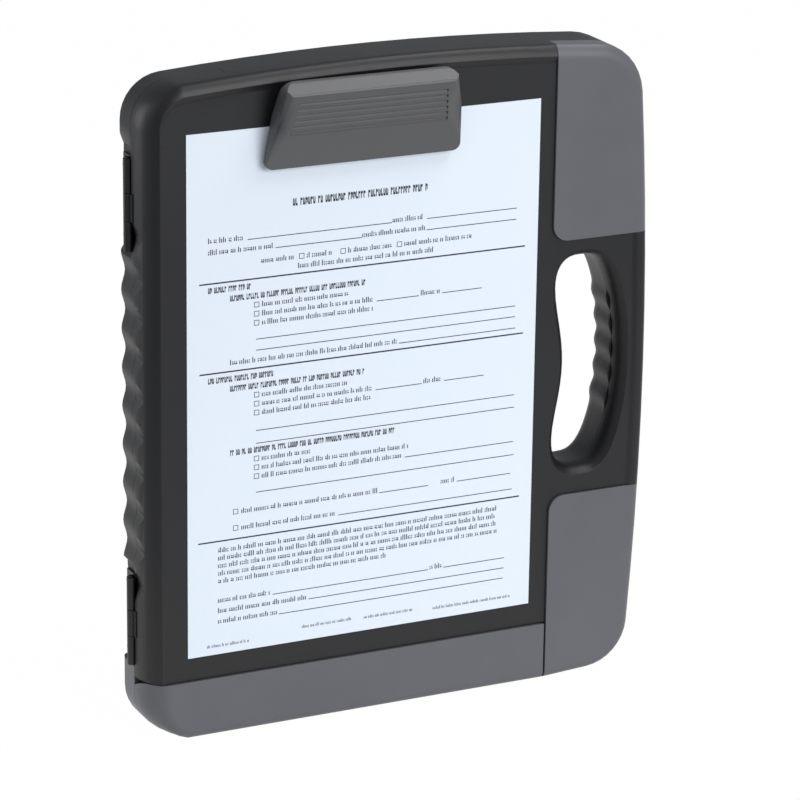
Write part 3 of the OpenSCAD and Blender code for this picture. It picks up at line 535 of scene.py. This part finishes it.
class OBJECT_OT_lay_sheet(bpy.types.Operator):
    """Give the sheet on the board its paper"""

    bl_idname = "clipboard_box.lay_sheet"
    bl_label = "Sheet"

    def execute(self, context):
        p = context.scene.form_paper
        dress("form_sheet", paper_finish("form_paper", tuple(p.paper_colour)))
        return {"FINISHED"}


def bar(bm, x0, x1, z, thick):
    """A printed bar, from x0 to x1 on the sheet and thick high, its lower edge at z on the case."""
    at = case(SHEET_X + (x0 + x1) / 2, SHEET_Y - INK_LIFT, z + thick / 2)
    place = Matrix.Translation(at) @ Matrix.Rotation(math.radians(90), 4, "X")
    bmesh.ops.create_grid(
        bm, x_segments=1, y_segments=1, size=0.5,
        matrix=place @ Matrix.Diagonal(((x1 - x0) * MM, thick * MM, 1.0, 1.0)),
    )


def box_outline(bm, x, z, side, line):
    bar(bm, x, x + side, z, line)
    bar(bm, x, x + side, z + side - line, line)
    bar(bm, x, x + line, z, side)
    bar(bm, x + side - line, x + side, z, side)


# Strokes of a mark: left and right in steps, foot and height in parts of the print's height
LOW = (0.0, 0.5, 0.0, 0.68)
PLAIN_MARKS = (
    ((0.0, 0.5, 0.0, 1.0),),
    ((0.0, 0.5, 0.0, 0.3), (0.0, 0.5, 0.45, 0.25)),
    ((0.0, 0.85, 0.1, 0.24), (0.1, 0.6, 0.45, 0.24)),
    (LOW,), (LOW,), (LOW,),
)
STEM = (0.0, 0.34, 0.0, 1.0)
HIGH_BAR = (0.34, 0.8, 0.62, 0.3)
FOOT_BAR = (0.34, 0.8, 0.0, 0.3)
SIDE = (0.56, 0.86, 0.2, 0.7)
BOLD_MARKS = (
    (STEM, HIGH_BAR), (STEM, FOOT_BAR), (STEM, HIGH_BAR),
    (STEM, FOOT_BAR, SIDE), (STEM, HIGH_BAR, SIDE), (STEM, FOOT_BAR, SIDE),
)
# Height of the print, its marks and the start of its draws
PRINT_KINDS = {
    "head": (4.1, BOLD_MARKS, 3),
    "bold": (3.3, BOLD_MARKS, 5),
    "text": (3.0, PLAIN_MARKS, 11),
    "small": (1.9, PLAIN_MARKS, 7),
}
STEP = 0.36
WORD_GAP = 0.9


def draw_next(state):
    """The next of a fixed row of random whole numbers."""
    return (state * 1103515245 + 12345) % 2147483648


def words(bm, x0, x1, z, tall, marks, seed):
    """Marks in groups as long as words, which read as small print and say nothing."""
    x = x0
    state = seed * 7919 + int(x0 * 10) + int(z * 10)
    step = tall * STEP
    while x < x1 - step:
        state = draw_next(state)
        for _ in range(2 + (state >> 8) % 7):
            if x > x1 - step:
                break
            state = draw_next(state)
            for left, right, foot, height in marks[(state >> 9) % len(marks)]:
                bar(bm, x + step * left, x + step * right, z + tall * foot, tall * height)
            x += step
        x += step * WORD_GAP


PRINT_ROWS = (
    # kind, left and right on the sheet, height on the case
    ("head", 60.3, 138.9, 293.0),
    ("text", 12.1, 34.1, 277.5), ("rule", 34.5, 117.9, 277.5),
    ("text", 118.2, 138.2, 277.5), ("rule", 138.6, 192.5, 277.5),
    ("text", 12.1, 50.1, 271.3), ("rule", 50.4, 100.4, 271.3),
    ("text", 100.6, 138.1, 271.3), ("rule", 138.4, 192.3, 271.3),
    ("text", 42.1, 62.0, 263.8), ("check", 64.0, 67.0, 263.6), ("text", 68.4, 84.0, 263.8),
    ("check", 88.0, 91.0, 263.6), ("text", 92.4, 118.0, 263.8),
    ("check", 121.0, 124.0, 263.6), ("text", 125.4, 167.5, 263.8),
    ("text", 63.4, 144.9, 258.6),
    ("thick", 7.0, 198.0, 255.3),
    ("bold", 12.0, 37.0, 250.3), ("bold", 24.5, 103.1, 244.8),
    ("check", 38.2, 41.2, 239.9), ("text", 42.8, 93.7, 240.0),
    ("check", 38.2, 41.2, 234.9), ("text", 42.8, 108.5, 235.0), ("rule", 109.5, 134.5, 235.0),
    ("text", 135.6, 147.4, 235.0), ("rule", 148.4, 172.3, 235.0),
    ("check", 38.2, 41.2, 229.9), ("text", 42.8, 108.5, 230.0),
    ("rule", 39.4, 192.8, 222.3), ("rule", 39.4, 192.8, 216.2),
    ("text", 24.5, 122.5, 209.7), ("rule", 123.0, 193.1, 209.7),
    ("thick", 7.0, 198.0, 205.9),
    ("bold", 11.9, 50.4, 200.6), ("bold", 24.5, 103.1, 195.0),
    ("check", 38.3, 41.3, 190.0), ("text", 42.8, 93.7, 190.1),
    ("check", 38.3, 41.3, 185.0), ("text", 42.8, 108.5, 185.1), ("rule", 109.5, 137.0, 185.1),
    ("text", 138.0, 149.4, 185.1), ("rule", 150.4, 174.5, 185.1),
    ("check", 38.3, 41.3, 180.0), ("text", 42.8, 108.5, 180.1),
    ("rule", 39.5, 193.5, 171.4), ("rule", 39.5, 193.5, 164.2),
    ("bold", 24.5, 121.4, 159.1),
    ("check", 38.3, 41.3, 154.2), ("text", 42.8, 72.2, 154.3),
    ("check", 38.3, 41.3, 149.2), ("text", 42.8, 130.6, 149.3),
    ("check", 38.3, 41.3, 144.2), ("text", 42.8, 126.4, 144.3), ("rule", 127.4, 193.5, 144.3),
    ("rule", 39.5, 194.0, 136.6),
    ("check", 26.2, 29.2, 125.8), ("text", 31.0, 111.7, 125.9), ("rule", 112.4, 141.9, 125.9),
    ("text", 149.5, 158.9, 125.9), ("rule", 159.4, 192.1, 125.9),
    ("check", 26.2, 29.2, 116.5), ("text", 31.0, 87.3, 116.6), ("rule", 88.0, 193.4, 116.6),
    ("thick", 6.0, 198.0, 111.4),
    ("text", 17.5, 186.4, 105.3), ("text", 17.5, 184.0, 100.9), ("text", 17.5, 185.0, 96.5),
    ("text", 17.5, 185.6, 92.1), ("text", 17.5, 118.0, 87.7),
    ("text", 17.4, 49.1, 76.6), ("rule", 49.4, 142.7, 76.6),
    ("text", 143.6, 151.5, 76.6), ("rule", 152.0, 189.7, 76.6),
    ("text", 17.4, 70.4, 70.6), ("rule", 70.8, 189.5, 70.6),
    ("text", 17.4, 52.7, 64.6), ("rule", 53.0, 189.0, 64.6),
    ("small", 11.0, 36.2, 51.2), ("small", 67.0, 97.0, 54.2), ("small", 104.0, 134.0, 53.8),
    ("small", 146.0, 194.0, 52.6),
)


def print_form(bm, rule):
    for kind, x0, x1, z in PRINT_ROWS:
        if kind == "rule":
            bar(bm, x0, x1, z - RULE_DROP, rule / MM)
        elif kind == "thick":
            bar(bm, x0, x1, z, THICK_RULE)
        elif kind == "check":
            box_outline(bm, x0, z, x1 - x0, BOX_LINE)
        else:
            words(bm, x0, x1, z, *PRINT_KINDS[kind])


class OBJECT_OT_print_rules(bpy.types.Operator):
    """Print generic rules, check boxes and word-long marks on the sheet"""

    bl_idname = "clipboard_box.print_rules"
    bl_label = "Form rules"

    def execute(self, context):
        p = context.scene.form_paper
        new_piece(
            "form_rules", lambda bm: print_form(bm, p.rule_width),
            ink_finish("form_ink", tuple(p.ink_colour)), "lid",
        )
        return {"FINISHED"}


def sight():
    """The camera's right, up and forward directions."""
    forward = Vector((
        math.sin(YAW) * math.cos(RISE), math.cos(YAW) * math.cos(RISE), -math.sin(RISE),
    ))
    right = Vector((math.cos(YAW), -math.sin(YAW), 0.0))
    up = right.cross(forward)
    c, s = math.cos(ROLL), math.sin(ROLL)
    return c * right + s * up, c * up - s * right, forward


def area_lamp(name, place, size, power):
    lamp = bpy.data.lights.new(name, "AREA")
    lamp.shape = "RECTANGLE"
    lamp.size, lamp.size_y = size
    lamp.energy = power
    holder = link(name, lamp)
    holder.location = place
    toward = Vector(LAMP_AIM) - Vector(place)
    holder.rotation_euler = toward.to_track_quat("-Z", "Y").to_euler()


def floor_grid(bm):
    bmesh.ops.create_grid(
        bm, x_segments=1, y_segments=1, size=0.5,
        matrix=Matrix.Translation(FLOOR_MIDDLE) @ Matrix.Diagonal((*FLOOR_SIZE, 1.0, 1.0)),
    )


class OBJECT_OT_set_stage(bpy.types.Operator):
    """Set the floor, the lamps, the room light and the camera"""

    bl_idname = "clipboard_box.set_stage"
    bl_label = "Studio"

    def execute(self, context):
        p = context.scene.studio_sizes
        scene = context.scene
        floor = new_mesh("studio_floor", floor_grid, backdrop_finish("studio_floor", FLOOR_GREY))
        scene.world = room_light(p.world_strength)
        for name, place, size, share in LAMPS:
            area_lamp(name, place, size, p.key_power * share)

        right, up, forward = sight()
        camera = bpy.data.cameras.new("photo_camera")
        camera.lens = LENS
        camera.sensor_width = SENSOR_WIDTH
        camera.clip_start = CLIP_NEAR
        camera.clip_end = CLIP_FAR
        holder = link("photo_camera", camera)
        turn = Matrix((right, up, -forward)).transposed().to_4x4()
        holder.matrix_world = Matrix.Translation(case(*AIM) - forward * REACH) @ turn
        scene.camera = holder
        scene.view_settings.view_transform = "Standard"
        return {"FINISHED"}


PIECE_OPERATORS = (
    OBJECT_OT_dress_shells,
    OBJECT_OT_dress_trim,
    OBJECT_OT_dress_hardware,
    OBJECT_OT_dress_clip,
    OBJECT_OT_lay_sheet,
    OBJECT_OT_print_rules,
    OBJECT_OT_set_stage,
)


class VIEW3D_PT_clipboard_box(bpy.types.Panel):
    """Lists the pieces that the box is dressed with"""

    bl_idname = "VIEW3D_PT_clipboard_box"
    bl_label = "Clipboard box"
    bl_space_type = "VIEW_3D"
    bl_region_type = "UI"
    bl_category = "Clipboard box"

    def draw(self, context):
        layout = self.layout
        for scene_key, group in GROUPS:
            column = layout.column()
            for key in group.__annotations__:
                column.prop(getattr(context.scene, scene_key), key)
        for operator in PIECE_OPERATORS:
            layout.operator(operator.bl_idname)


GROUPS = (
    ("case_plastics", CasePlastics),
    ("form_paper", PaperSizes),
    ("studio_sizes", StudioSizes),
)


def register():
    for key, group in GROUPS:
        bpy.utils.register_class(group)
        setattr(bpy.types.Scene, key, bpy.props.PointerProperty(type=group))
    for operator in PIECE_OPERATORS:
        bpy.utils.register_class(operator)
    bpy.utils.register_class(VIEW3D_PT_clipboard_box)


def unregister():
    bpy.utils.unregister_class(VIEW3D_PT_clipboard_box)
    for operator in reversed(PIECE_OPERATORS):
        bpy.utils.unregister_class(operator)
    for key, group in reversed(GROUPS):
        delattr(bpy.types.Scene, key)
        bpy.utils.unregister_class(group)


def main():
    register()
    for operator in PIECE_OPERATORS:
        family, name = operator.bl_idname.split(".")
        getattr(getattr(bpy.ops, family), name)()


if __name__ == "__main__":
    main()
